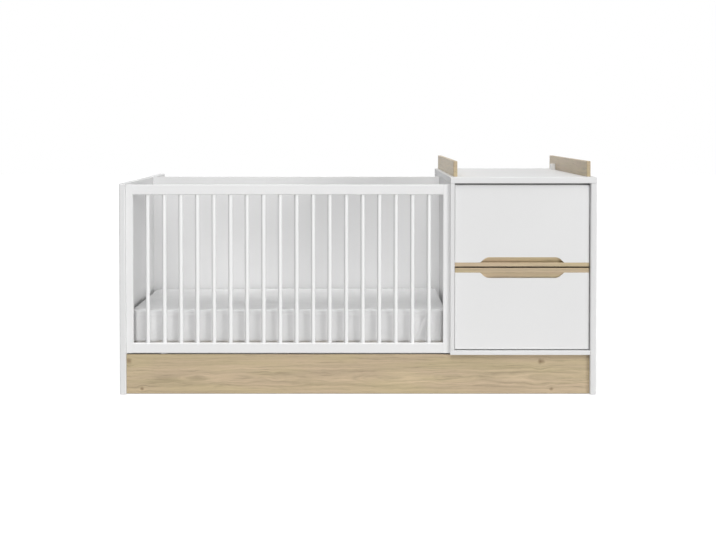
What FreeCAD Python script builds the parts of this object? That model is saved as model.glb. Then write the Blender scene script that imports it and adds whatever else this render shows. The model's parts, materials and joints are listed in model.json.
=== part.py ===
import FreeCAD, Part
import math
import os

# A convertible crib: a barred crib on the left and a two-drawer chest with a changing top on the
# right, between two end panels and above one plinth. Millimetres. X runs to the right, Y to the
# back and Z up. The origin is on the floor, in the middle of the outline.

Vector = FreeCAD.Vector
RIGHT = Vector(1, 0, 0)
LEFT = Vector(-1, 0, 0)
FORWARD = Vector(0, -1, 0)
UP = Vector(0, 0, 1)
DOWN = Vector(0, 0, -1)

# Whole object
overall_length = 1800.0
overall_depth = 960.0
end_panel_height = 800.0
end_panel_thickness = 24.0
end_panel_radius = 5.0
board_thickness = 16.0
board_radius = 1.0
glide_height = 3.0
glide_radius = 11.0
glide_edge = 1.0
glide_inset = 60.0

# Plinth
plinth_top = 152.0
plinth_recess = 13.0
cross_rail_places = (-262.0, 612.0)

# Crib
crib_length = 1224.0
crib_height = 795.0
crib_back_height = 799.0
crib_back_depth = 642.0
front_side_recess = 10.0
front_side_thickness = 22.0
front_side_bottom = 157.0
front_rail_height = 38.0
front_side_radius = 3.0
stile_width = 26.0
bar_count = 18
bar_diameter = 16.0
bar_tenon = 10.0

# Mattress base and mattress
base_top = 186.0
base_gap = 6.0
base_rail_height = 20.0
base_rail_width = 22.0
base_raise = 150.0
slat_count = 14
slat_width = 60.0
slat_thickness = 12.0
slat_radius = 2.0
mattress_length = 1214.0
mattress_width = 604.0
mattress_height = 131.0
mattress_corner = 32.0
mattress_crown = 4.0
mattress_crown_run = 240.0
mattress_bottom_roll = 10.0
mattress_top_roll = 11.0
mattress_draw_in = 2.0
mattress_clearance = 0.4

# Brackets under the mattress base
bracket_leg = 40.0
bracket_width = 50.0
bracket_thickness = 2.0
bracket_places = (-340.0, 60.0)
bracket_screw_spread = 15.0
bracket_screw_drop = 25.0

# Chest
chest_top_thickness = 24.0
chest_top_radius = 3.0
chest_back_thickness = 5.0
chest_back_inset = 15.0
groove_depth = 8.0
groove_play = 0.1
stretcher_setback = 30.0
stretcher_width = 60.0
stretcher_dowel_places = (-435.0, -405.0)

# Guard rails on the chest top, and the blocks at their inner feet
guard_thickness = 15.0
guard_height = 59.0
guard_left = 362.0
guard_right = 867.0
guard_front_inset = 40.0
guard_rear_inset = 10.0
guard_radius = 2.0
guard_dowel_places = (-380.0, -20.0)
block_size = Vector(18.5, 36.0, 26.0)
block_depth = 780.0
block_radius = 1.5
block_screw_spread = 9.0

# Drawers
drawer_recess = 10.0
drawer_front_thickness = 18.0
drawer_front_radius = 1.2
drawer_left_gap = 2.0
drawer_right_gap = 3.0
lower_front_span = (172.0, 480.0)
upper_front_span = (485.5, 794.0)
lower_box_bottom = 190.0
upper_box_bottom = 502.0
box_length = 550.0
box_height = 240.0
box_wall = 12.0
box_floor_thickness = 5.0
box_floor_lift = 10.0
box_groove = 6.0
runner_space = 12.5

# Oak pulls along the meeting edges of the drawer fronts
lower_strip_height = 17.5
upper_strip_height = 14.9
lower_scoop_height = 21.2
upper_scoop_height = 20.5
scoop_half_width = 159.0
scoop_side_angle = 42.0
scoop_corner_radius = 32.0
scoop_depth = 14.0
pull_lip = 7.0
pull_undercut = 8.0
pull_undercut_margin = 12.0
pull_overcut = 1.0

# Roller runners, measured from the chest wall towards the drawer
sheet_steel = 1.2
roller_radius = 7.5
roller_width = 6.0
roller_bore = 2.05
roller_edge = 0.8
roller_rise = 5.2
roller_play = 0.3
runner_front_gap = 2.0
front_roller_setback = 14.0
rear_roller_setback = 10.0
flange_reach = 10.9
channel_height = 17.6
lip_start = 4.0
runner_plate_height = 18.0
front_roller_start = 2.2
rear_roller_start = 4.3
front_pin_start = 9.2
rear_pin_start = 3.3
runner_screw_places = (-400.0, 40.0)

# Fasteners, each as steps of radius and length from the head inwards
panel_screw = ((5.0, 4.0), (2.5, 42.0))
screw_cap = ((6.0, 2.0),)
frame_bolt = ((6.5, 4.0), (3.0, 76.0))
barrel_nut = ((5.0, 16.0),)
cam_lock = ((7.5, 12.5),)
cam_bolt = ((3.5, 11.0), (3.0, 30.0))
dowel = ((4.0, 30.0),)
short_screw = ((3.5, 1.6), (1.75, 14.0))
rivet_pin = ((3.2, 0.8), (2.0, 7.2))
hole_clearance = 0.1
barrel_nut_setback = 10.0
cam_distance = 34.0
cam_slot = Vector(1.5, 2.0, 9.0)
dowel_in_board = 12.0
block_screw_recess = 18.0
block_screw_seat = 12.0
counterbore_radius = 4.0
panel_screw_heights = (220.0, 480.0, 740.0)
plinth_screw_heights = (45.0, 110.0)
bottom_screw_places = (-300.0, 0.0, 300.0)
top_cam_places = (-380.0, 380.0)
bottom_cam_places = (240.0, 420.0)

# Wall brackets at the back of the chest
wall_bracket_places = (440.0, 800.0)
wall_bracket_width = 30.0
wall_bracket_drop = 40.0
wall_bracket_foot = 14.0
wall_hole_radius = 2.75
wall_hole_drop = 25.0

# Planes that several pieces share
left_face = -overall_length / 2
right_face = overall_length / 2
front = -overall_depth / 2
rear = overall_depth / 2
left_inner = left_face + end_panel_thickness
right_inner = right_face - end_panel_thickness
chest_left = left_inner + crib_length
chest_inner_left = chest_left + board_thickness
chest_floor = plinth_top + board_thickness
chest_top = end_panel_height + chest_top_thickness
crib_back = front + crib_back_depth
side_front = front + front_side_recess
side_back = side_front + front_side_thickness
bar_line = (side_front + side_back) / 2
base_bottom = base_top - slat_thickness - base_rail_height
drawer_face = front + drawer_recess
drawer_face_back = drawer_face + drawer_front_thickness
box_rear = drawer_face_back + box_length
chest_middle = (chest_inner_left + right_inner) / 2

nodes = {}


def box(x, y, z):
    """A block between three pairs of planes."""
    return Part.makeBox(x[1] - x[0], y[1] - y[0], z[1] - z[0], Vector(x[0], y[0], z[0]))


def rounded(shape, radius, wanted=None):
    """Round the edges whose middle point is wanted, or all of them."""
    edges = [edge for edge in shape.Edges if wanted is None or wanted(edge.CenterOfMass)]
    return shape.makeFillet(radius, edges)


def rounded_along(shape, radius, direction):
    """Round the straight edges that run along one direction."""
    chosen = []
    for edge in shape.Edges:
        run = edge.Vertexes[-1].Point - edge.Vertexes[0].Point
        if abs(run.dot(direction)) > 0.99 * run.Length:
            chosen.append(edge)
    return shape.makeFillet(radius, chosen)


def board(x, y, z, radius=board_radius):
    """A board with every edge eased."""
    return rounded(box(x, y, z), radius)


def joined(shapes):
    """One solid from pieces that touch or overlap."""
    return shapes[0].multiFuse(shapes[1:]).removeSplitter()


def stepped_pin(start, direction, steps, clearance=0.0):
    """A turned piece: cylinders of falling radius, one after the other along a line."""
    parts = []
    reach = 0.0
    for radius, length in steps:
        place = start + direction * reach
        parts.append(Part.makeCylinder(radius + clearance, length + clearance, place, direction))
        reach += length
    return joined(parts) if len(parts) > 1 else parts[0]


def drill(targets, tools):
    """Cut the same set of holes from several pieces."""
    cutter = Part.makeCompound(tools)
    for target in targets:
        nodes[target] = nodes[target].cut(cutter)


def fasten(name, places, steps, targets):
    """A group of like fasteners, and their holes in the pieces that they join."""
    nodes[name] = Part.makeCompound([stepped_pin(*place, steps) for place in places])
    drill(targets, [stepped_pin(*place, steps, hole_clearance) for place in places])


def make_end_panels():
    tall = (glide_height, end_panel_height)
    left = box((left_face, left_inner), (front, rear), tall)
    right = box((right_inner, right_face), (front, rear), tall)
    nodes["left_end_panel"] = rounded(left, end_panel_radius, lambda middle: middle.z > 2 * glide_height)
    nodes["right_end_panel"] = rounded_along(right, end_panel_radius, UP)


def make_plinth():
    tall = (glide_height, plinth_top)
    across = (left_inner, right_inner)
    outer = front + plinth_recess
    inner = outer + board_thickness
    nodes["front_plinth"] = board(across, (outer, inner), tall)
    nodes["rear_plinth"] = board(across, (-inner, -outer), tall)
    rails = []
    for x in (chest_left + board_thickness / 2, *cross_rail_places):
        thick = (x - board_thickness / 2, x + board_thickness / 2)
        rails.append(board(thick, (inner, -inner), tall))
    nodes["plinth_cross_rails"] = Part.makeCompound(rails)
    glides = []
    for x in (left_face + end_panel_thickness / 2, right_face - end_panel_thickness / 2,
              chest_left + board_thickness / 2, cross_rail_places[0]):
        for y in (front + glide_inset, rear - glide_inset):
            disc = Part.makeCylinder(glide_radius, glide_height, Vector(x, y, 0.0))
            glides.append(rounded(disc, glide_edge, lambda middle: middle.z < glide_height / 3))
    nodes["floor_glides"] = Part.makeCompound(glides)


def make_front_side():
    """The barred side: two stiles, two rails between them and round bars let into the rails."""
    thick = (side_front, side_back)
    tall = (front_side_bottom, crib_height)
    left_stile = (left_inner, left_inner + stile_width)
    right_stile = (chest_left - stile_width, chest_left)
    nodes["front_stiles"] = Part.makeCompound([board(x, thick, tall) for x in (left_stile, right_stile)])
    clear = (left_stile[1], right_stile[0])
    rail_top = front_side_bottom + front_rail_height
    rail_under = crib_height - front_rail_height
    bottom_rail = box(clear, thick, (front_side_bottom, rail_top))
    top_rail = box(clear, thick, (rail_under, crib_height))
    gap = (clear[1] - clear[0] - bar_count * bar_diameter) / (bar_count + 1)
    bars = []
    sockets = []
    for index in range(bar_count):
        x = clear[0] + gap + bar_diameter / 2 + index * (gap + bar_diameter)
        foot = Vector(x, bar_line, rail_top - bar_tenon)
        length = rail_under - rail_top + 2 * bar_tenon
        bars.append(Part.makeCylinder(bar_diameter / 2, length, foot))
        sockets.append(Part.makeCylinder(
            bar_diameter / 2 + hole_clearance, length + 2 * hole_clearance, foot - UP * hole_clearance))
    nodes["front_bars"] = Part.makeCompound(bars)
    nodes["front_bottom_rail"] = rounded_along(bottom_rail, front_side_radius, RIGHT)
    nodes["front_top_rail"] = rounded_along(top_rail, front_side_radius, RIGHT)
    drill(("front_bottom_rail", "front_top_rail"), sockets)


def make_crib_back():
    thick = (crib_back, crib_back + board_thickness)
    nodes["crib_back_panel"] = board((left_inner, chest_left), thick, (front_side_bottom, crib_back_height))


def make_mattress_base():
    """A loose slatted frame that rests on four brackets."""
    x = (left_inner + base_gap, chest_left - base_gap)
    y = (side_back + base_gap, crib_back - base_gap)
    tall = (base_bottom, base_bottom + base_rail_height)
    front_inner = y[0] + base_rail_width
    rear_inner = y[1] - base_rail_width
    nodes["base_front_rail"] = board(x, (y[0], front_inner), tall)
    nodes["base_rear_rail"] = board(x, (rear_inner, y[1]), tall)
    ends = []
    for low in (x[0], x[1] - base_rail_width):
        ends.append(board((low, low + base_rail_width), (front_inner, rear_inner), tall))
    nodes["base_end_rails"] = Part.makeCompound(ends)
    pitch = (x[1] - x[0] - slat_width) / (slat_count - 1)
    slats = []
    for index in range(slat_count):
        low = x[0] + index * pitch
        slats.append(board((low, low + slat_width), y, (base_top - slat_thickness, base_top), slat_radius))
    nodes["base_slats"] = Part.makeCompound(slats)


def soft_outline(half_x, half_y, corner, middle, z):
    """A closed outline with round corners and sides that draw in between them."""
    slant = corner * (1 - math.sqrt(0.5))
    edges = []
    for turn in range(4):
        along, across = (half_x, half_y) if turn % 2 == 0 else (half_y, half_x)
        side = [Vector(-along + corner, -across), Vector(0, -across + mattress_draw_in),
                Vector(along - corner, -across)]
        bend = [Vector(along - corner, -across), Vector(along - slant, -across + slant),
                Vector(along, -across + corner)]
        for points in (side, bend):
            arc = Part.Arc(*points).toShape()
            arc.rotate(Vector(), UP, 90.0 * turn)
            arc.translate(Vector(middle.x, middle.y, z))
            edges.append(arc)
    return Part.Wire(edges)


def make_mattress():
    """A crowned pad with rolled edges, built as a loft through level outlines."""
    bottom = base_top + mattress_clearance
    top = bottom + mattress_height
    middle = Vector(
        (left_inner + chest_left) / 2, (side_back + crib_back) / 2, 0)
    levels = []
    for angle in (0, 30, 60, 90):
        turn = math.radians(angle)
        inset = mattress_bottom_roll * (1 - math.sin(turn))
        levels.append((bottom + mattress_bottom_roll * (1 - math.cos(turn)), inset))
    for angle in (0, 30, 60, 80):
        turn = math.radians(angle)
        inset = mattress_top_roll * (1 - math.cos(turn))
        levels.append((top - mattress_top_roll * (1 - math.sin(turn)), inset))
    for share in (0.25, 0.5, 0.8):
        inset = mattress_top_roll + share * mattress_crown_run
        levels.append((top + mattress_crown * math.sin(share * math.pi / 2), inset))
    outlines = []
    for z, inset in levels:
        corner = max(mattress_corner - 0.5 * inset, mattress_corner / 4)
        outlines.append(soft_outline(
            mattress_length / 2 - inset, mattress_width / 2 - inset, corner, middle, z))
    nodes["mattress"] = Part.makeLoft(outlines, True, True)


def make_base_brackets():
    """Steel angles on the left end panel and on the cross rail below the chest side."""
    brackets = []
    screws = []
    low = base_bottom - bracket_leg
    for wall, inward in ((left_inner, RIGHT), (chest_left, LEFT)):
        for y in bracket_places:
            wide = (y - bracket_width / 2, y + bracket_width / 2)
            reach = sorted((wall, wall + inward.x * bracket_leg))
            plate = sorted((wall, wall + inward.x * bracket_thickness))
            shelf = box(reach, wide, (base_bottom - bracket_thickness, base_bottom))
            upright = box(plate, wide, (low, base_bottom))
            brackets.append(joined([shelf, upright]))
            for side in (-bracket_screw_spread, bracket_screw_spread):
                head = wall + inward.x * (bracket_thickness + short_screw[0][1])
                screws.append((Vector(head, y + side, base_bottom - bracket_screw_drop), -inward))
    nodes["base_brackets"] = Part.makeCompound(brackets)
    return screws


def make_chest():
    depth = (front, rear)
    nodes["chest_left_side"] = board(
        (chest_left, chest_inner_left), depth, (chest_floor, end_panel_height))
    nodes["chest_bottom"] = board((chest_left, right_inner), depth, (plinth_top, chest_floor))
    nodes["chest_top"] = board(
        (chest_left, right_face), depth, (end_panel_height, chest_top), chest_top_radius)
    stretcher_front = front + stretcher_setback
    nodes["chest_stretcher"] = board(
        (chest_inner_left, right_inner), (stretcher_front, stretcher_front + stretcher_width),
        (end_panel_height - board_thickness, end_panel_height))
    panel_x = (chest_inner_left - groove_depth, right_inner + groove_depth)
    panel_y = (rear - chest_back_inset - chest_back_thickness, rear - chest_back_inset)
    panel_z = (chest_floor, end_panel_height)
    nodes["chest_back_panel"] = box(panel_x, panel_y, panel_z)
    groove = box(
        (panel_x[0] - groove_play, panel_x[1] + groove_play),
        (panel_y[0] - groove_play, panel_y[1] + groove_play), panel_z)
    drill(("chest_left_side", "right_end_panel"), [groove])


def make_guard_rails():
    """Two low rails on the chest top, with a plastic block at the inner foot of each."""
    long = (front + guard_front_inset, rear - guard_rear_inset)
    tall = (chest_top, chest_top + guard_height)
    blocks = []
    screws = []
    counterbores = []
    y = front + block_depth
    for name, x, inner, inward in (
            ("left_guard_rail", guard_left, guard_left + guard_thickness, RIGHT),
            ("right_guard_rail", guard_right, guard_right, LEFT)):
        nodes[name] = board((x, x + guard_thickness), long, tall, guard_radius)
        across = sorted((inner, inner + inward.x * block_size.x))
        block_top = chest_top + block_size.z
        blocks.append(board(across, (y, y + block_size.y), (chest_top, block_top), block_radius))
        middle = Vector(sum(across) / 2, y + block_size.y / 2, (chest_top + block_top) / 2)
        into_top = Vector(middle.x, middle.y - block_screw_spread, block_top - block_screw_recess)
        seat = inner + inward.x * (block_size.x - block_screw_seat)
        into_rail = Vector(seat, middle.y + block_screw_spread, middle.z)
        screws += [(into_top, DOWN), (into_rail, -inward)]
        counterbores.append(Part.makeCylinder(counterbore_radius, block_screw_recess, into_top))
        counterbores.append(Part.makeCylinder(counterbore_radius, block_screw_seat, into_rail, inward))
    nodes["guard_blocks"] = Part.makeCompound(blocks)
    drill(("guard_blocks",), counterbores)
    return screws


def make_dowels():
    """Dowels that set the guard rails on the chest top and the stretcher between the chest walls."""
    places = []
    for x in (guard_left, guard_right):
        for y in guard_dowel_places:
            places.append((Vector(x + guard_thickness / 2, y, chest_top - dowel_in_board), UP))
    z = end_panel_height - board_thickness / 2
    for wall, inward in ((chest_inner_left, RIGHT), (right_inner, LEFT)):
        for y in stretcher_dowel_places:
            places.append((Vector(wall - inward.x * dowel_in_board, y, z), inward))
    fasten("wooden_dowels", places, dowel, (
        "left_guard_rail", "right_guard_rail", "chest_top", "chest_stretcher", "chest_left_side",
        "right_end_panel"))


def make_wall_brackets():
    """Small steel angles below the back edge of the chest top, each with one hole for a wall screw."""
    brackets = []
    screws = []
    for x in wall_bracket_places:
        wide = (x - wall_bracket_width / 2, x + wall_bracket_width / 2)
        foot = box(wide, (rear - wall_bracket_foot, rear),
                   (end_panel_height - bracket_thickness, end_panel_height))
        plate = box(wide, (rear - bracket_thickness, rear),
                    (end_panel_height - wall_bracket_drop, end_panel_height))
        hole = Part.makeCylinder(
            wall_hole_radius, bracket_thickness, Vector(x, rear, end_panel_height - wall_hole_drop), FORWARD)
        brackets.append(joined([foot, plate]).cut(hole))
        head = end_panel_height - bracket_thickness - short_screw[0][1]
        screws.append((Vector(x, rear - wall_bracket_foot / 2, head), UP))
    nodes["wall_brackets"] = Part.makeCompound(brackets)
    return screws


def scoop_outline(wide_z, narrow_z):
    """The outline of a finger scoop: wide at the strip, with slanted ends and round outer corners."""
    rise = abs(narrow_z - wide_z)
    away = 1 if narrow_z > wide_z else -1
    slope = math.radians(scoop_side_angle)
    corner = scoop_half_width - rise / math.tan(slope)
    tangent = scoop_corner_radius * math.tan(slope / 2)
    middle_gap = scoop_corner_radius * (1 / math.cos(slope / 2) - 1)
    y = drawer_face

    def point(x, climb):
        return Vector(chest_middle + x, y, wide_z + away * climb)

    edges = []
    for side in (-1, 1):
        start = point(side * scoop_half_width, 0.0)
        bend_start = point(side * (corner + tangent * math.cos(slope)), rise - tangent * math.sin(slope))
        bend_middle = point(
            side * (corner - middle_gap * math.sin(slope / 2)), rise - middle_gap * math.cos(slope / 2))
        bend_end = point(side * (corner - tangent), rise)
        edges.append(Part.LineSegment(start, bend_start).toShape())
        edges.append(Part.Arc(bend_start, bend_middle, bend_end).toShape())
    flat = corner - tangent
    edges.append(Part.LineSegment(point(-flat, rise), point(flat, rise)).toShape())
    edges.append(Part.LineSegment(point(-scoop_half_width, 0.0), point(scoop_half_width, 0.0)).toShape())
    return Part.Wire(Part.__sortEdges__(edges)), flat


def make_drawer_face(name, span, strip_below):
    """A white front with an oak strip on its meeting edge and an oak scoop that deepens downwards."""
    low, high = span
    across = (chest_inner_left + drawer_left_gap, right_inner - drawer_right_gap)
    thick = (drawer_face, drawer_face_back)
    if strip_below:
        strip_z = (low, low + upper_strip_height)
        panel_z = (strip_z[1], high)
        scoop_z = (strip_z[1], strip_z[1] + upper_scoop_height)
        outline, _ = scoop_outline(scoop_z[0], scoop_z[1])
        reach = scoop_half_width - pull_undercut_margin
        grooved = name + "_strip"
    else:
        strip_z = (high - lower_strip_height, high)
        panel_z = (low, strip_z[0])
        scoop_z = (strip_z[0] - lower_scoop_height, strip_z[0])
        outline, flat = scoop_outline(scoop_z[1], scoop_z[0])
        reach = flat - pull_undercut_margin
        grooved = name + "_front"
    cutout = Part.Face(outline).extrude(Vector(0, drawer_front_thickness, 0))
    before = thick[0] - pull_overcut
    slope = Part.makePolygon([
        Vector(across[0], before, scoop_z[1]), Vector(across[0], thick[0], scoop_z[1]),
        Vector(across[0], thick[0] + scoop_depth, scoop_z[0]), Vector(across[0], before, scoop_z[0]),
        Vector(across[0], before, scoop_z[1])])
    hollow = Part.Face(slope).extrude(Vector(across[1] - across[0], 0, 0))
    undercut = box(
        (chest_middle - reach, chest_middle + reach),
        (thick[0] + pull_lip, thick[0] + scoop_depth),
        (scoop_z[0] - pull_undercut, scoop_z[0]))
    nodes[name + "_front"] = board(across, thick, panel_z, drawer_front_radius).cut(cutout)
    nodes[name + "_strip"] = board(across, thick, strip_z, drawer_front_radius)
    nodes[name + "_scoop"] = cutout.cut(hollow)
    drill((grooved,), [undercut])


def make_drawer_box(name, low):
    """Sides, back and a thin floor that slides into grooves in the sides."""
    floor_z = (low + box_floor_lift, low + box_floor_lift + box_floor_thickness)
    outer = (chest_inner_left + runner_space, right_inner - runner_space)
    inner = (outer[0] + box_wall, outer[1] - box_wall)
    long = (drawer_face_back, box_rear)
    tall = (low, low + box_height)
    nodes[name + "_left_side"] = board((outer[0], inner[0]), long, tall)
    nodes[name + "_right_side"] = board((inner[1], outer[1]), long, tall)
    nodes[name + "_back"] = board(inner, (box_rear - box_wall, box_rear), (floor_z[1], tall[1]))
    floor_x = (inner[0] - box_groove, inner[1] + box_groove)
    nodes[name + "_floor"] = box(floor_x, long, floor_z)
    groove = box((floor_x[0] - groove_play, floor_x[1] + groove_play), long,
                 (floor_z[0] - groove_play, floor_z[1] + groove_play))
    drill((name + "_left_side", name + "_right_side"), [groove])


def runner_frame(side):
    """The chest wall on one side, and the direction from it towards the drawer."""
    if side == "left":
        return chest_inner_left, 1.0
    return right_inner, -1.0


def runner_box(side, away, y, z):
    """A block placed by its distance away from the chest wall."""
    wall, inward = runner_frame(side)
    return box(sorted(wall + inward * distance for distance in away), y, z)


def roller(side, start, y, axle):
    """A nylon roller with a plain bore, on an axle along X."""
    wall, inward = runner_frame(side)
    place = Vector(wall + inward * start, y, axle)
    disc = Part.makeCylinder(roller_radius, roller_width, place, RIGHT * inward)
    disc = rounded(disc, roller_edge)
    return disc.cut(Part.makeCylinder(roller_bore, roller_width, place, RIGHT * inward))


def make_runners(name, low):
    """Channel profiles on the chest walls, lipped profiles under the drawer, and their rollers."""
    axle = low + roller_rise
    long = (drawer_face_back + runner_front_gap, box_rear)
    channel_low = axle - roller_radius - roller_play
    channel_high = channel_low + channel_height
    under_channel = channel_low - sheet_steel
    over_channel = channel_high + sheet_steel
    under_side = low - sheet_steel
    lip_low = axle + roller_radius + roller_play
    front_axle = long[0] + front_roller_setback
    rear_axle = long[1] - rear_roller_setback
    plate_start = runner_space - sheet_steel
    channels, profiles, front_rollers, rear_rollers = [], [], [], []
    fixed_pins, moving_pins, screws = [], [], []
    for side in ("left", "right"):
        wall, inward = runner_frame(side)
        channels.append(joined([
            runner_box(side, (0.0, sheet_steel), long, (under_channel, over_channel)),
            runner_box(side, (0.0, flange_reach), long, (under_channel, channel_low)),
            runner_box(side, (0.0, flange_reach), long, (channel_high, over_channel))]))
        profiles.append(joined([
            runner_box(side, (plate_start, runner_space), long, (under_side, low + runner_plate_height)),
            runner_box(side, (plate_start, runner_space + box_wall), long, (under_side, low)),
            runner_box(side, (lip_start, runner_space), long, (lip_low, lip_low + sheet_steel))]))
        front_rollers.append(roller(side, front_roller_start, front_axle, axle))
        rear_rollers.append(roller(side, rear_roller_start, rear_axle, axle))
        fixed_pins.append((Vector(wall + inward * front_pin_start, front_axle, axle), LEFT * inward))
        moving_pins.append((Vector(wall + inward * rear_pin_start, rear_axle, axle), RIGHT * inward))
        for y in runner_screw_places:
            head = wall + inward * (sheet_steel + short_screw[0][1])
            screws.append((Vector(head, y, axle), LEFT * inward))
    nodes[name + "_channels"] = Part.makeCompound(channels)
    nodes[name + "_runners"] = Part.makeCompound(profiles)
    nodes[name + "_front_rollers"] = Part.makeCompound(front_rollers)
    nodes[name + "_rear_rollers"] = Part.makeCompound(rear_rollers)
    nodes[name + "_fixed_pins"] = Part.makeCompound([stepped_pin(*pin, rivet_pin) for pin in fixed_pins])
    nodes[name + "_moving_pins"] = Part.makeCompound([stepped_pin(*pin, rivet_pin) for pin in moving_pins])
    return screws


def make_front_side_bolts():
    """Bolts through the end panel and the chest side into barrel nuts in the two rails."""
    bolts = []
    nuts = []
    length = sum(step[1] for step in frame_bolt)
    for z in (front_side_bottom + front_rail_height / 2, crib_height - front_rail_height / 2):
        for start, inward in ((left_face, RIGHT), (chest_inner_left, LEFT)):
            bolts.append((Vector(start, bar_line, z), inward))
            nut_x = start + inward.x * (length - barrel_nut_setback)
            nuts.append((Vector(nut_x, side_back, z), FORWARD))
    rails = ("front_bottom_rail", "front_top_rail")
    fasten("front_barrel_nuts", nuts, barrel_nut, rails)
    fasten("front_bolts", bolts, frame_bolt, (
        *rails, "front_stiles", "left_end_panel", "chest_left_side", "front_barrel_nuts"))


def make_panel_screws():
    """Screws through the end panels, under flush caps, and through the chest side."""
    plinth_line = rear - plinth_recess - board_thickness / 2
    back_line = crib_back + board_thickness / 2
    left_marks = [(back_line, z) for z in panel_screw_heights]
    right_marks = [(y, plinth_top + board_thickness / 2) for y in bottom_screw_places]
    for z in plinth_screw_heights:
        for y in (-plinth_line, plinth_line):
            left_marks.append((y, z))
            right_marks.append((y, z))
    screws = []
    caps = []
    cap_depth = screw_cap[0][1]
    for face, inward, marks in ((left_face, RIGHT, left_marks), (right_face, LEFT, right_marks)):
        for y, z in marks:
            caps.append((Vector(face, y, z), inward))
            screws.append((Vector(face + inward.x * cap_depth, y, z), inward))
    for z in panel_screw_heights:
        screws.append((Vector(chest_inner_left, back_line, z), LEFT))
    panels = ("left_end_panel", "right_end_panel")
    fasten("screw_caps", caps, screw_cap, panels)
    fasten("panel_screws", screws, panel_screw, (
        *panels, "chest_left_side", "crib_back_panel", "front_plinth", "rear_plinth", "chest_bottom"))


def make_cam_locks():
    """Cams in the chest walls that draw on bolts in the top and bottom boards."""
    cams = []
    bolts = []
    slots = []
    thread = cam_bolt[0][1]
    seats = [("top", y, *wall) for y in top_cam_places
             for wall in ((chest_inner_left, LEFT), (right_inner, RIGHT))]
    seats += [("bottom", y, chest_inner_left, LEFT) for y in bottom_cam_places]
    for edge, y, wall, outward in seats:
        line = wall + outward.x * board_thickness / 2
        if edge == "top":
            z = end_panel_height - cam_distance
            bolts.append((Vector(line, y, end_panel_height + thread), DOWN))
        else:
            z = chest_floor + cam_distance
            bolts.append((Vector(line, y, chest_floor - thread), UP))
        cams.append((Vector(wall, y, z), outward))
        slot_x = sorted((wall, wall + outward.x * cam_slot.x))
        for wide, tall in ((cam_slot.y, cam_slot.z), (cam_slot.z, cam_slot.y)):
            slots.append(box(slot_x, (y - wide / 2, y + wide / 2), (z - tall / 2, z + tall / 2)))
    walls = ("chest_left_side", "right_end_panel")
    fasten("cam_locks", cams, cam_lock, walls)
    drill(("cam_locks",), slots)
    fasten("cam_bolts", bolts, cam_bolt, (*walls, "chest_top", "chest_bottom", "cam_locks"))


def drill_upper_base_holes(screws):
    """Free holes for the brackets when the mattress base is fitted at its upper height."""
    holes = []
    shank, length = short_screw[1]
    for place, direction in screws:
        wall = place + direction * (short_screw[0][1] + bracket_thickness) + UP * base_raise
        holes.append(Part.makeCylinder(shank, length - bracket_thickness, wall, direction))
    drill(("left_end_panel", "chest_left_side"), holes)


make_end_panels()
make_plinth()
make_front_side()
make_crib_back()
make_mattress_base()
make_mattress()
make_chest()
base_screws = make_base_brackets()
small_screws = base_screws + make_guard_rails() + make_wall_brackets()
make_dowels()
for drawer, face_span, box_bottom, strip_is_below in (
        ("upper_drawer", upper_front_span, upper_box_bottom, True),
        ("lower_drawer", lower_front_span, lower_box_bottom, False)):
    make_drawer_face(drawer, face_span, strip_is_below)
    make_drawer_box(drawer, box_bottom)
    small_screws += make_runners(drawer, box_bottom)
make_front_side_bolts()
make_panel_screws()
make_cam_locks()
fasten("short_screws", small_screws, short_screw, (
    "base_brackets", "left_end_panel", "plinth_cross_rails", "guard_blocks", "left_guard_rail",
    "right_guard_rail", "chest_top", "wall_brackets", "upper_drawer_channels", "lower_drawer_channels",
    "chest_left_side", "right_end_panel"))
drill_upper_base_holes(base_screws)

os.makedirs("parts", exist_ok=True)
for node_name, node_shape in nodes.items():
    if not node_shape.isValid():
        print("not valid:", node_name)
    node_shape.exportStep("parts/" + node_name + ".step")
print(len(nodes), "nodes,", sum(len(shape.Solids) for shape in nodes.values()), "solids")
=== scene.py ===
import json
import math

import bpy
import numpy as np
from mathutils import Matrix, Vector, noise


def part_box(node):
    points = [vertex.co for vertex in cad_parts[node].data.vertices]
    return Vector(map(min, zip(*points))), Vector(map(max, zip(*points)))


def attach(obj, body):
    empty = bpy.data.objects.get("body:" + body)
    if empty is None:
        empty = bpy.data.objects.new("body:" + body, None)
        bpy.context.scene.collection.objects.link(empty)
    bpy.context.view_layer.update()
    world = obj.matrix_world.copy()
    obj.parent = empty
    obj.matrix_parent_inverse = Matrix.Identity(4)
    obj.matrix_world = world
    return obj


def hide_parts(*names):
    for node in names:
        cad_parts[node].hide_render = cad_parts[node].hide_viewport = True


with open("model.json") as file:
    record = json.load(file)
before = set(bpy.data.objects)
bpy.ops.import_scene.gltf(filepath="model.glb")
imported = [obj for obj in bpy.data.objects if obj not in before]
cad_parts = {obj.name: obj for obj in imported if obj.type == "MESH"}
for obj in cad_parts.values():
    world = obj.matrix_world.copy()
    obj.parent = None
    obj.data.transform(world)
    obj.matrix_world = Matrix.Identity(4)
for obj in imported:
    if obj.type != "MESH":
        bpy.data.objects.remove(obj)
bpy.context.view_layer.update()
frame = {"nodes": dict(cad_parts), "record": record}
scene = bpy.context.scene

# The camera looks straight at the front from above the top rail, with its lens dropped towards the floor.
CAMERA_PLACE = (0.0, -5.12, 1.016)
CAMERA_LENS = 62.1
CAMERA_DROP = -0.155
CAMERA_TILT = math.radians(1.532)

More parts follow.
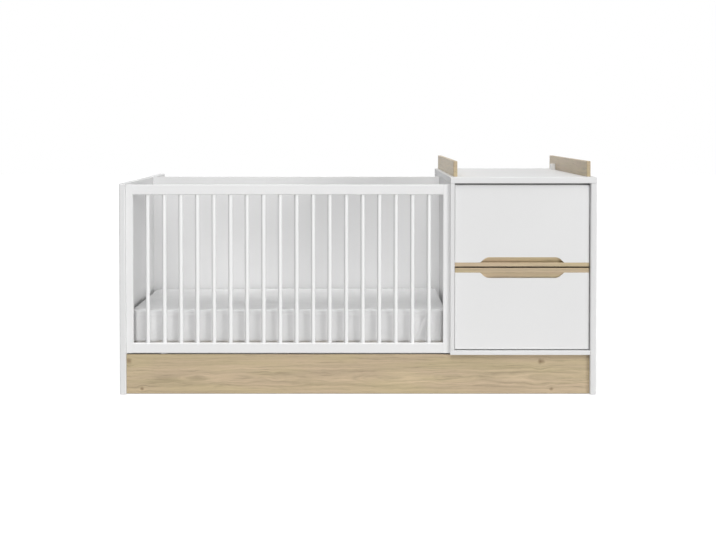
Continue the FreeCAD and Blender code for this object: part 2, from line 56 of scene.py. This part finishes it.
# Soft light: a faint even surround, two lamps high in front, and low ones at the right and behind.
SURROUND = 0.11
LAMPS = (  # name, strength, spread, turn to the right and height, in degrees
    ("front", 1.5, 40.0, 4.0, 54.0),
    ("left", 0.73, 36.0, -40.0, 58.0),
    ("side", 1.45, 18.0, 49.0, 6.0),
    ("back", 1.2, 30.0, 186.0, 12.0),
)
LAMP_DISTANCE = 6.0
FLOOR_SIZE = 40.0
FLOOR_COLOUR = (0.6, 0.6, 0.6, 1)
FLOOR_GLOW = 0.62
FLOOR_GLOW_STARTS = 0.96  # share of the half sizes below; the floor under the crib doesn't glow
SHADE_HALF_X = 0.88
SHADE_HALF_Y = 0.46
WHITE = (1, 1, 1, 1)

# White boards: where a side counts as facing left for painted shade, and the run in metres along which a
# board turns from painted shade to painted light.
LEFT_FACING = (-0.95, -0.3)
PAINTED_SLOPE_RUN = (-0.8, 0.3)

# Oak decor: knots as place along the grain, height and radius, in metres.
PLINTH_KNOTS = (
    (-0.866, 0.127, 0.012),
    (-0.818, 0.021, 0.0075),
    (0.692, 0.125, 0.012),
    (0.733, 0.021, 0.0075),
)
OAK_OLIVE = (0.525, 0.43, 0.271, 1)
OAK_PINK = (0.536, 0.424, 0.289, 1)
OAK_KNOT = (0.24, 0.165, 0.095, 1)
OAK_DRIFT = (-0.9, 0.9, 0.965, 1.04)  # low and high end in metres, and the tone at each
GRAIN_HEART = 0.062
# Painted shade and light in the finger scoops: a tone by height, darker at the lower, deep edge and lighter
# at the upper edge.
UPPER_SCOOP_SHADE = (0.5015, 0.5095, 0.86, 1.36)  # low and high edge in metres, and the tone at each
LOWER_SCOOP_SHADE = (0.4415, 0.448, 0.66, 1.19)

# Mattress cover, in metres.
COVER_VOXEL = 0.006
COVER_START_INSET = 0.003
COVER_SWELL_CAP = 0.005
COVER_PRESSURE = 4.0
COVER_FRAMES = 20
COVER_SMOOTH_ROUNDS = 40
THREAD_PITCH = 0.0011
COVER_COLOUR = (0.8, 0.8, 0.8)
COVER_FOLDS = 0.0016
COVER_CORNER = 0.032
COVER_CROWN = 0.004
UPPER_STARTS = 0.03  # below the rim, where the shapes of the upper edge begin
UPPER_FADE = 0.02
RIM_PLACE = 0.006
RIM_WIDTH = 0.005
RIM_RISE = 0.002
VALLEY_PLACE = 0.027
VALLEY_WIDTH = 0.011
VALLEY_DEPTH = 0.001
SEAM_DROP = 0.0165
SEAM_WIDTH = 0.0028
SEAM_DEPTH = 0.0016
CREASE_FADE = 0.6  # share of a crease's length
RIDGE_RISE = 0.7  # ridge beside a crease: rise, distance and width as shares of the crease
RIDGE_PLACE = 2.2
RIDGE_WIDTH = 1.8
FRONT_CREASES = (  # start and end as x and height on the front face, width and depth
    ((0.255, 0.292), (0.214, 0.208), 0.005, 0.0032),
    ((-0.52, 0.285), (-0.545, 0.215), 0.006, 0.0009),
    ((-0.09, 0.27), (-0.05, 0.205), 0.006, 0.0005),
)
FRONT_LIFT = (0.012, 0.03, 0.005)  # place in from the edge, width and rise of the full front edge
REAR_LIFT = (0.015, 0.07, 0.008)
REAR_LIFT_RUN = ((-0.6, -0.35), (0.5, 1.0))  # along the length, the share of the rear rise
SIDE_WAVE_SHARE = 0.35
WAVES = (  # scale along each axis and height of the uneven surface
    ((3.0, 7.0, 5.0), 0.0012),
    ((9.0, 14.0, 7.0), 0.0005),
)


class Graph:
    """A material, with short ways to add and link its nodes."""

    def __init__(self, name):
        self.material = bpy.data.materials.new(name)
        self.material.use_nodes = True
        self.nodes = self.material.node_tree.nodes
        self.links = self.material.node_tree.links
        self.shader = self.nodes["Principled BSDF"]
        coordinates = self.nodes.new("ShaderNodeTexCoord")
        self.place = coordinates.outputs["Object"]
        self.facing = coordinates.outputs["Normal"]

    def put(self, socket, value):
        if isinstance(value, bpy.types.NodeSocket):
            self.links.new(value, socket)
        else:
            socket.default_value = value

    def add(self, kind, inputs, **settings):
        node = self.nodes.new(kind)
        for name, value in settings.items():
            setattr(node, name, value)
        for name, value in inputs.items():
            self.put(node.inputs[name], value)
        return node

    def set(self, **inputs):
        for name, value in inputs.items():
            self.put(self.shader.inputs[name.replace("_", " ")], value)

    def math(self, operation, first, second=0.0):
        return self.add("ShaderNodeMath", {0: first, 1: second}, operation=operation).outputs[0]

    def split(self, vector):
        return self.add("ShaderNodeSeparateXYZ", {0: vector}).outputs

    def point(self, x, y, z):
        return self.add("ShaderNodeCombineXYZ", {0: x, 1: y, 2: z}).outputs[0]

    def noise(self, place, scale=1.0, detail=2.0, rough=0.5):
        values = {"Vector": place, "Scale": scale, "Detail": detail, "Roughness": rough}
        return self.add("ShaderNodeTexNoise", values).outputs["Fac"]

    def spread(self, value, low, high, out_low, out_high):
        values = {"Value": value, "From Min": low, "From Max": high, "To Min": out_low, "To Max": out_high}
        return self.add("ShaderNodeMapRange", values).outputs["Result"]

    def mix(self, share, first, second):
        return self.add("ShaderNodeMix", {0: share, 6: first, 7: second}, data_type="RGBA").outputs[2]

    def scaled(self, colour, amount):
        return self.add("ShaderNodeVectorMath", {0: colour, "Scale": amount}, operation="SCALE").outputs[0]

    def bump(self, height, strength, distance):
        values = {"Height": height, "Strength": strength, "Distance": distance}
        return self.add("ShaderNodeBump", values).outputs["Normal"]


def laminate(name, white, rough, shine=0.4, painted_left_shade=1.0, painted_shade_slope=0.0):
    """A pale satin board: a cloudy tone, pearl texture, painted shade on sides facing left, and painted
    shade turning to painted light along its length.
    """
    g = Graph(name)
    cloud = g.noise(g.place, 2.2, 3.0)
    pearl = g.noise(g.place, 520.0, 2.0)
    tone = g.math("ADD", g.spread(cloud, 0.3, 0.7, 0.985, 1.012), g.spread(pearl, 0.3, 0.7, -0.008, 0.008))
    # Painted shade: sides facing left are darkened.
    tone = g.math("MULTIPLY", tone, g.spread(g.split(g.facing)[0], *LEFT_FACING, painted_left_shade, 1.0))
    # Painted shade and light: the board darkens towards its left end and lightens towards its right end.
    tone = g.math("MULTIPLY", tone, g.spread(g.split(g.place)[0], *PAINTED_SLOPE_RUN, 1.0 - painted_shade_slope, 1.0 + painted_shade_slope))
    g.set(Base_Color=g.scaled((white, white, white), tone),
          Roughness=g.spread(pearl, 0.3, 0.7, rough - 0.05, rough + 0.06),
          Normal=g.bump(pearl, 0.06, 0.0004))
    g.shader.inputs["Specular IOR Level"].default_value = shine
    return g.material


def oak(name, along, knots=(), shade=None, rough=0.56, shine=0.35):
    """Oak decor: wavy growth rings cut lengthwise, fibres, pores and knots that the grain flows round."""
    g = Graph(name)
    x, y, z = g.split(g.place)
    length, depth = (x, y) if along == "X" else (y, x)

    def stretched(along_scale, height, across_scale, detail=2.0, roughness=0.5):
        place = g.point(g.math("MULTIPLY", length, along_scale), g.math("MULTIPLY", height, across_scale),
                        g.math("MULTIPLY", depth, across_scale))
        return g.noise(place, 1.0, detail, roughness)

    near_heart = g.spread(g.math("ABSOLUTE", g.math("SUBTRACT", z, GRAIN_HEART)), 0.015, 0.055, 1.0, 0.25)
    sway = g.spread(stretched(1.7, z, 7.0, 3.0), 0.2, 0.8, -0.009, 0.009)
    ripple = g.spread(stretched(13.0, z, 22.0), 0.2, 0.8, -0.0052, 0.0052)
    height = g.math("ADD", z, g.math("ADD", sway, g.math("MULTIPLY", ripple, near_heart)))
    knotted = None
    wobble = g.spread(stretched(60.0, z, 60.0), 0.25, 0.75, -0.35, 0.35)
    for place, level, radius in knots:
        across = g.math("SUBTRACT", z, level)
        along_share = g.math("DIVIDE", g.math("SUBTRACT", length, place), radius * 1.1)
        across_share = g.math("DIVIDE", across, radius)
        squares = g.math("ADD", g.math("POWER", along_share, 2.0), g.math("POWER", across_share, 2.0))
        reach = g.math("ADD", g.math("SQRT", squares), wobble)
        pull = g.spread(reach, 0.6, 3.5, -0.75, 0.0)
        height = g.math("ADD", height, g.math("MULTIPLY", pull, across))
        core = g.spread(reach, 0.1, 1.15, 0.9, 0.0)
        knotted = core if knotted is None else g.math("MAXIMUM", knotted, core)
    behind = g.spread(g.noise(length, 2.3, 1.0), 0.25, 0.75, 0.022, 0.036)
    rise = g.math("SUBTRACT", height, GRAIN_HEART)
    ring = g.math("SQRT", g.math("ADD", g.math("POWER", rise, 2.0), g.math("POWER", behind, 2.0)))
    figure = g.noise(g.point(g.math("MULTIPLY", ring, 190.0), g.math("MULTIPLY", length, 3.0),
                             g.math("MULTIPLY", depth, 40.0)), 1.0, 3.0, 0.55)
    fibre = stretched(8.0, height, 420.0)
    streak = g.spread(stretched(10.0, height, 230.0, 1.0), 0.58, 0.75, 0.0, 1.0)
    pore = g.spread(stretched(42.0, height, 1400.0, 0.0), 0.6, 0.74, 0.0, 1.0)
    patch = stretched(3.0, z, 22.0)
    colour = g.mix(g.spread(patch, 0.38, 0.62, 0.0, 1.0), OAK_OLIVE, OAK_PINK)
    strength = g.math("MULTIPLY", g.spread(figure, 0.3, 0.7, -0.24, 0.18), near_heart)
    tone = g.math("ADD", g.spread(fibre, 0.25, 0.75, 0.93, 1.07), strength)
    tone = g.math("ADD", tone, g.spread(stretched(1.2, height, 40.0, 3.0), 0.3, 0.7, -0.08, 0.07))
    tone = g.math("SUBTRACT", tone, g.math("MULTIPLY", streak, 0.2))
    tone = g.math("SUBTRACT", tone, g.math("MULTIPLY", pore, 0.12))
    tone = g.math("MULTIPLY", tone, g.spread(length, *OAK_DRIFT))
    # Painted shade and light: the tone changes with height, for the finger scoops.
    if shade is not None:
        tone = g.math("MULTIPLY", tone, g.spread(z, *shade))
    colour = g.scaled(colour, tone)
    if knotted is not None:
        colour = g.mix(knotted, colour, OAK_KNOT)
    relief = g.math("SUBTRACT", g.math("MULTIPLY", fibre, 0.5), pore)
    g.set(Base_Color=colour, Roughness=g.spread(fibre, 0.3, 0.7, rough - 0.06, rough + 0.06),
          Normal=g.bump(relief, 0.12, 0.0004))
    g.shader.inputs["Specular IOR Level"].default_value = shine
    return g.material


def plain_wood(name, along):
    """Pale planed softwood for the hidden base and dowels."""
    g = Graph(name)
    x, y, z = g.split(g.place)
    length, depth = (x, y) if along == "X" else (y, x)
    wander = g.noise(g.point(g.math("MULTIPLY", length, 2.0), g.math("MULTIPLY", depth, 9.0), z), 1.0, 2.0)
    side = g.math("ADD", depth, g.spread(wander, 0.2, 0.8, -0.01, 0.01))
    rings = g.noise(g.point(g.math("MULTIPLY", length, 1.2), g.math("MULTIPLY", side, 110.0),
                            g.math("MULTIPLY", z, 110.0)), 1.0, 3.0)
    fibre = g.noise(g.point(g.math("MULTIPLY", length, 12.0), g.math("MULTIPLY", depth, 700.0),
                            g.math("MULTIPLY", z, 700.0)), 1.0, 2.0)
    shade = g.math("ADD", g.spread(rings, 0.3, 0.7, 0.9, 1.06), g.spread(fibre, 0.3, 0.7, -0.05, 0.05))
    g.set(Base_Color=g.scaled((0.7, 0.6, 0.46), shade), Roughness=g.spread(fibre, 0.3, 0.7, 0.55, 0.7),
          Normal=g.bump(fibre, 0.15, 0.0004))
    return g.material


def hardboard(name):
    """Thin painted fibreboard: fine felted mottling under a white coat."""
    g = Graph(name)
    felt = g.noise(g.place, 190.0, 4.0, 0.65)
    cloud = g.noise(g.place, 5.0, 2.0)
    tone = g.math("ADD", g.spread(felt, 0.3, 0.7, 0.96, 1.02), g.spread(cloud, 0.3, 0.7, -0.012, 0.012))
    g.set(Base_Color=g.scaled((0.78, 0.775, 0.76), tone), Roughness=g.spread(felt, 0.3, 0.7, 0.55, 0.7),
          Normal=g.bump(felt, 0.1, 0.0005))
    return g.material


def moulded_plastic(name, colour):
    """Moulded plastic with a fine spark texture."""
    g = Graph(name)
    spark = g.noise(g.place, 900.0, 2.0)
    cloud = g.noise(g.place, 60.0, 1.0)
    g.set(Base_Color=g.scaled(colour, g.spread(cloud, 0.3, 0.7, 0.98, 1.015)),
          Roughness=g.spread(spark, 0.3, 0.7, 0.33, 0.46), Normal=g.bump(spark, 0.08, 0.0002))
    return g.material


def zinc_steel(name):
    """Zinc-plated steel: cool grey with a faint crystal pattern and drawn lines."""
    g = Graph(name)
    crystals = g.add("ShaderNodeTexVoronoi", {"Vector": g.place, "Scale": 240.0}).outputs["Color"]
    drawn = g.noise(g.place, 300.0, 3.0)
    bright = g.spread(g.split(crystals)[0], 0.0, 1.0, 0.9, 1.06)
    g.set(Base_Color=g.scaled((0.6, 0.61, 0.63), bright), Roughness=g.spread(drawn, 0.3, 0.7, 0.26, 0.42),
          Normal=g.bump(drawn, 0.06, 0.0002))
    g.shader.inputs["Metallic"].default_value = 1.0
    return g.material


def woven(name, colour, folds):
    """White cotton: crossing threads on every side of the piece, a little fuzz and soft folds."""
    g = Graph(name)
    turn = 2 * math.pi / THREAD_PITCH
    waves = [g.math("SINE", g.math("MULTIPLY", axis, turn)) for axis in g.split(g.place)]
    threads = g.math("ADD", g.math("ADD", waves[0], waves[1]), waves[2])
    fuzz = g.noise(g.place, 800.0, 3.0)
    cloud = g.noise(g.place, 6.0, 3.0)
    crease = g.noise(g.place, 14.0, 4.0, 0.55)
    tone = g.spread(threads, -2.0, 2.0, 0.975, 1.015)
    tone = g.math("ADD", tone, g.spread(cloud, 0.3, 0.7, -0.02, 0.012))
    soft = g.math("MULTIPLY", g.math("ADD", threads, fuzz), 0.00012)
    relief = g.math("ADD", soft, g.math("MULTIPLY", crease, folds))
    g.set(Base_Color=g.scaled(colour, tone), Roughness=g.spread(fuzz, 0.3, 0.7, 0.82, 0.95),
          Normal=g.bump(relief, 0.5, 1.0))
    g.shader.inputs["Sheen Weight"].default_value = 0.15
    g.shader.inputs["Specular IOR Level"].default_value = 0.2
    return g.material


def dress_cad_nodes():
    """Gives every CAD node a finish: its own where one is listed, else the finish of its material slot."""
    finishes = {
        "white_board": laminate("white_laminate", 0.8, 0.42),
        "oak_decor": oak("oak_lengthwise", "X", PLINTH_KNOTS),
        "hardboard": hardboard("white_hardboard"),
        "slat_wood": plain_wood("planed_wood_lengthwise", "X"),
        "nylon": moulded_plastic("nylon", (0.8, 0.8, 0.78)),
        "white_plastic": moulded_plastic("white_plastic", (0.88, 0.88, 0.88)),
        "zinc_steel": zinc_steel("zinc_steel"),
        "mattress_cover": woven("mattress_ticking", COVER_COLOUR, 0.0),
    }
    rail_oak = oak("oak_crosswise", "Y", rough=0.42, shine=0.5)
    lacquer = laminate("white_lacquer", 0.84, 0.34, 0.4)
    # The bars get painted shade on their left-facing sides.
    bar_lacquer = laminate("white_bar_lacquer", 0.89, 0.34, 0.3, painted_left_shade=0.72)
    end_board = laminate("white_end_board", 0.765, 0.42)
    # The chest side gets painted shade on its left-facing sides.
    chest_board = laminate("white_chest_board", 0.765, 0.42, painted_left_shade=0.88)
    # The back board is a brighter white than the other boards, as painted light, with painted shade at its
    # left end and painted light at its right end.
    back_board = laminate("white_back_board", 0.83, 0.42, painted_shade_slope=0.1)
    # Painted shade: the stretcher behind the gap above the upper drawer is a dark grey board, so the gap
    # reads as shade.
    painted_gap_shade_board = laminate("painted_gap_shade_grey", 0.3, 0.5)
    top_board = laminate("white_top_board", 0.805, 0.5, 0.22)
    cross_wood = plain_wood("planed_wood_crosswise", "Y")
    own_finish = {
        "left_guard_rail": rail_oak,
        "right_guard_rail": rail_oak,
        "front_stiles": lacquer,
        "front_top_rail": lacquer,
        "front_bottom_rail": lacquer,
        "front_bars": bar_lacquer,
        "left_end_panel": end_board,
        "right_end_panel": end_board,
        "chest_left_side": chest_board,
        "chest_top": top_board,
        "chest_stretcher": painted_gap_shade_board,
        "crib_back_panel": back_board,
        "upper_drawer_scoop": oak("oak_upper_scoop", "X", shade=UPPER_SCOOP_SHADE),
        "lower_drawer_scoop": oak("oak_lower_scoop", "X", shade=LOWER_SCOOP_SHADE),
        "base_slats": cross_wood,
        "base_end_rails": cross_wood,
    }
    for part in frame["record"]["subparts"]:
        node = frame["nodes"][part["node"]]
        finish = own_finish.get(part["node"], finishes[part["material_slot"]])
        for slot in node.material_slots:
            slot.material = finish


def new_piece(name, mesh, material):
    mesh.materials.clear()
    mesh.materials.append(material)
    piece = bpy.data.objects.new(name, mesh)
    scene.collection.objects.link(piece)
    return piece


def shown_mesh(piece):
    """The piece's mesh with its modifiers applied."""
    graph = bpy.context.evaluated_depsgraph_get()
    return bpy.data.meshes.new_from_object(piece.evaluated_get(graph))


def points_of(mesh):
    points = np.empty(len(mesh.vertices) * 3)
    mesh.vertices.foreach_get("co", points)
    return points.reshape(-1, 3)


def set_points(mesh, points):
    mesh.vertices.foreach_set("co", points.ravel())
    mesh.update()


def apply_modifiers(piece):
    mesh = shown_mesh(piece)
    piece.modifiers.clear()
    piece.data = mesh


def smoothed(values, mesh):
    """Values at the points of a mesh, averaged with their neighbours a few times."""
    ends = np.empty(len(mesh.edges) * 2, dtype=np.intc)
    mesh.edges.foreach_get("vertices", ends)
    shares = np.bincount(ends, minlength=len(values))[:, None] + 1.0
    first, second = ends.reshape(-1, 2).T
    for _ in range(COVER_SMOOTH_ROUNDS):
        total = values.copy()
        np.add.at(total, first, values[second])
        np.add.at(total, second, values[first])
        values = total / shares
    return values


def swell(piece):
    """Blows the cover up against its own cloth, by no more than the cap at any point."""
    start = points_of(piece.data)
    modifier = piece.modifiers.new("swell", "CLOTH")
    modifier.settings.quality = 4
    modifier.settings.use_pressure = True
    modifier.settings.uniform_pressure_force = COVER_PRESSURE
    modifier.settings.effector_weights.gravity = 0.0
    modifier.collision_settings.use_collision = False
    modifier.point_cache.frame_start = 1
    modifier.point_cache.frame_end = COVER_FRAMES
    for step in range(1, COVER_FRAMES + 1):
        scene.frame_set(step)
    apply_modifiers(piece)
    scene.frame_set(1)
    moved = points_of(piece.data) - start
    far = np.maximum(np.linalg.norm(moved, axis=1), 1e-9)
    moved = moved * np.minimum(1.0, COVER_SWELL_CAP / far)[:, None]
    set_points(piece.data, start + smoothed(moved, piece.data))


def bell(distance, width):
    return np.exp(-(distance / width) ** 2)


def noise_at(points, scale):
    return np.array([noise.noise(Vector(point)) for point in points * np.array(scale)])


def crease_profile(points, start, end, width):
    """A groove with a ridge beside it along a line on the front face, fading out at both ends."""
    start, end = np.array(start), np.array(end)
    run = end - start
    length = np.linalg.norm(run)
    run = run / length
    offset = points[:, [0, 2]] - start
    along = offset @ run
    aside = offset @ np.array([-run[1], run[0]])
    fade = bell(along - length / 2, length * CREASE_FADE)
    ridge = RIDGE_RISE * bell(aside - RIDGE_PLACE * width, RIDGE_WIDTH * width)
    return fade * (ridge - bell(aside, width))


def shape_cover(mesh, middle, size):
    """Adds the rolled rim, the valley behind it, the seam below it, creases, waves and full edges."""
    points = points_of(mesh)
    normals = np.empty(len(points) * 3)
    mesh.vertices.foreach_get("normal", normals)
    normals = normals.reshape(-1, 3)
    beyond = np.abs(points[:, :2] - middle[:2]) - (size[:2] / 2 - COVER_CORNER)
    outside = np.hypot(*np.maximum(beyond, 0.0).T) + np.minimum(beyond.max(axis=1), 0.0)
    edge = COVER_CORNER - outside
    rim_top = middle[2] + size[2] / 2 - COVER_CROWN
    upper = np.clip((points[:, 2] - rim_top + UPPER_STARTS) / UPPER_FADE, 0.0, 1.0)
    drop = rim_top - points[:, 2]
    uneven = 1.0 + 0.5 * noise_at(points, (5.0, 5.0, 0.0))
    sideways = np.clip(1.0 - np.abs(normals[:, 2]), 0.0, 1.0)
    amount = upper * uneven * RIM_RISE * bell(edge - RIM_PLACE, RIM_WIDTH)
    amount -= upper * uneven * VALLEY_DEPTH * bell(edge - VALLEY_PLACE, VALLEY_WIDTH)
    amount -= sideways * SEAM_DEPTH * bell(drop - SEAM_DROP, SEAM_WIDTH)
    facing = np.clip(-normals[:, 1], 0.0, 1.0)
    for start, end, width, depth in FRONT_CREASES:
        amount += facing * depth * crease_profile(points, start, end, width)
    calm = 1.0 - (1.0 - SIDE_WAVE_SHARE) * sideways
    for scale, wave in WAVES:
        amount += wave * calm * noise_at(points, scale)
    shaped = points + normals * amount[:, None]
    toward_rear = np.clip((points[:, 1] - middle[1]) / size[1] + 0.5, 0.0, 1.0)
    rear_share = np.interp(points[:, 0], *REAR_LIFT_RUN) * toward_rear
    for share, (place, width, rise) in ((1.0 - toward_rear, FRONT_LIFT), (rear_share, REAR_LIFT)):
        shaped[:, 2] += upper * share * rise * bell(edge - place, width)
    set_points(mesh, shaped)


def mattress_cover():
    """The mattress: a swollen cover with creases and a rolled rim, in the room of its CAD solid."""
    low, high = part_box("mattress")
    middle, size = np.array((low + high) / 2), np.array(high - low)
    ticking = woven("cotton_cover", COVER_COLOUR, COVER_FOLDS)
    piece = new_piece("mattress_cover", frame["nodes"]["mattress"].data.copy(), ticking)
    smaller = 1 - 2 * COVER_START_INSET / size
    set_points(piece.data, middle + (points_of(piece.data) - middle) * smaller)
    remesh = piece.modifiers.new("even", "REMESH")
    remesh.mode = "VOXEL"
    remesh.voxel_size = COVER_VOXEL
    apply_modifiers(piece)
    swell(piece)
    finer = piece.modifiers.new("finer", "SUBSURF")
    finer.levels = finer.render_levels = 1
    apply_modifiers(piece)
    shape_cover(piece.data, middle, size)
    for face in piece.data.polygons:
        face.use_smooth = True
    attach(piece, "mattress")
    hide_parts("mattress")


def make_camera():
    camera = bpy.data.objects.new("camera", bpy.data.cameras.new("camera"))
    camera.data.lens = CAMERA_LENS
    camera.data.shift_y = CAMERA_DROP
    camera.location = CAMERA_PLACE
    camera.rotation_euler = (math.pi / 2 - CAMERA_TILT, 0.0, 0.0)
    scene.collection.objects.link(camera)
    scene.camera = camera


def seen_directly(nodes, links):
    """1 for a ray from the camera, a reflection or a refraction, and 0 for light that falls on things."""
    path = nodes.new("ShaderNodeLightPath")
    total = path.outputs["Is Camera Ray"]
    for ray in ("Is Glossy Ray", "Is Transmission Ray"):
        either = nodes.new("ShaderNodeMath")
        either.operation = "MAXIMUM"
        links.new(total, either.inputs[0])
        links.new(path.outputs[ray], either.inputs[1])
        total = either.outputs[0]
    return total


def make_surround():
    world = bpy.data.worlds.new("studio")
    world.use_nodes = True
    nodes, links = world.node_tree.nodes, world.node_tree.links
    level = nodes.new("ShaderNodeMapRange")
    links.new(seen_directly(nodes, links), level.inputs["Value"])
    level.inputs["To Min"].default_value = SURROUND
    level.inputs["To Max"].default_value = 1.0
    links.new(level.outputs["Result"], nodes["Background"].inputs["Strength"])
    nodes["Background"].inputs["Color"].default_value = WHITE
    scene.world = world


def make_lamp(name, strength, spread, to_right, height):
    lamp = bpy.data.objects.new(name, bpy.data.lights.new(name, "SUN"))
    lamp.data.energy = strength
    lamp.data.angle = math.radians(spread)
    turn, rise = math.radians(to_right), math.radians(height)
    towards = Vector((math.sin(turn) * math.cos(rise), -math.cos(turn) * math.cos(rise), math.sin(rise)))
    lamp.location = towards * LAMP_DISTANCE
    lamp.rotation_euler = towards.to_track_quat("Z", "Y").to_euler()
    lamp.visible_glossy = name != "back"
    scene.collection.objects.link(lamp)


def make_floor():
    half = FLOOR_SIZE / 2
    mesh = bpy.data.meshes.new("floor")
    corners = [(-half, -half, 0), (half, -half, 0), (half, half, 0), (-half, half, 0)]
    mesh.from_pydata(corners, [], [(0, 1, 2, 3)])
    g = Graph("floor")
    dust = g.noise(g.place, 40.0, 2.0)
    g.set(Base_Color=FLOOR_COLOUR, Roughness=g.spread(dust, 0.3, 0.7, 0.85, 0.95))
    g.shader.inputs["Specular IOR Level"].default_value = 0.0
    g.shader.inputs["Emission Color"].default_value = WHITE
    x, y, _ = g.split(g.place)
    aside = g.math("DIVIDE", g.math("ABSOLUTE", x), SHADE_HALF_X)
    ahead = g.math("DIVIDE", g.math("ABSOLUTE", y), SHADE_HALF_Y)
    open_floor = g.spread(g.math("MAXIMUM", aside, ahead), FLOOR_GLOW_STARTS, 1.0, 0.0, FLOOR_GLOW)
    g.set(Emission_Strength=g.math("MULTIPLY", seen_directly(g.nodes, g.links), open_floor))
    new_piece("floor", mesh, g.material)


scene.view_settings.view_transform = "Standard"
make_camera()
make_surround()
for lamp in LAMPS:
    make_lamp(*lamp)
make_floor()
dress_cad_nodes()
mattress_cover()
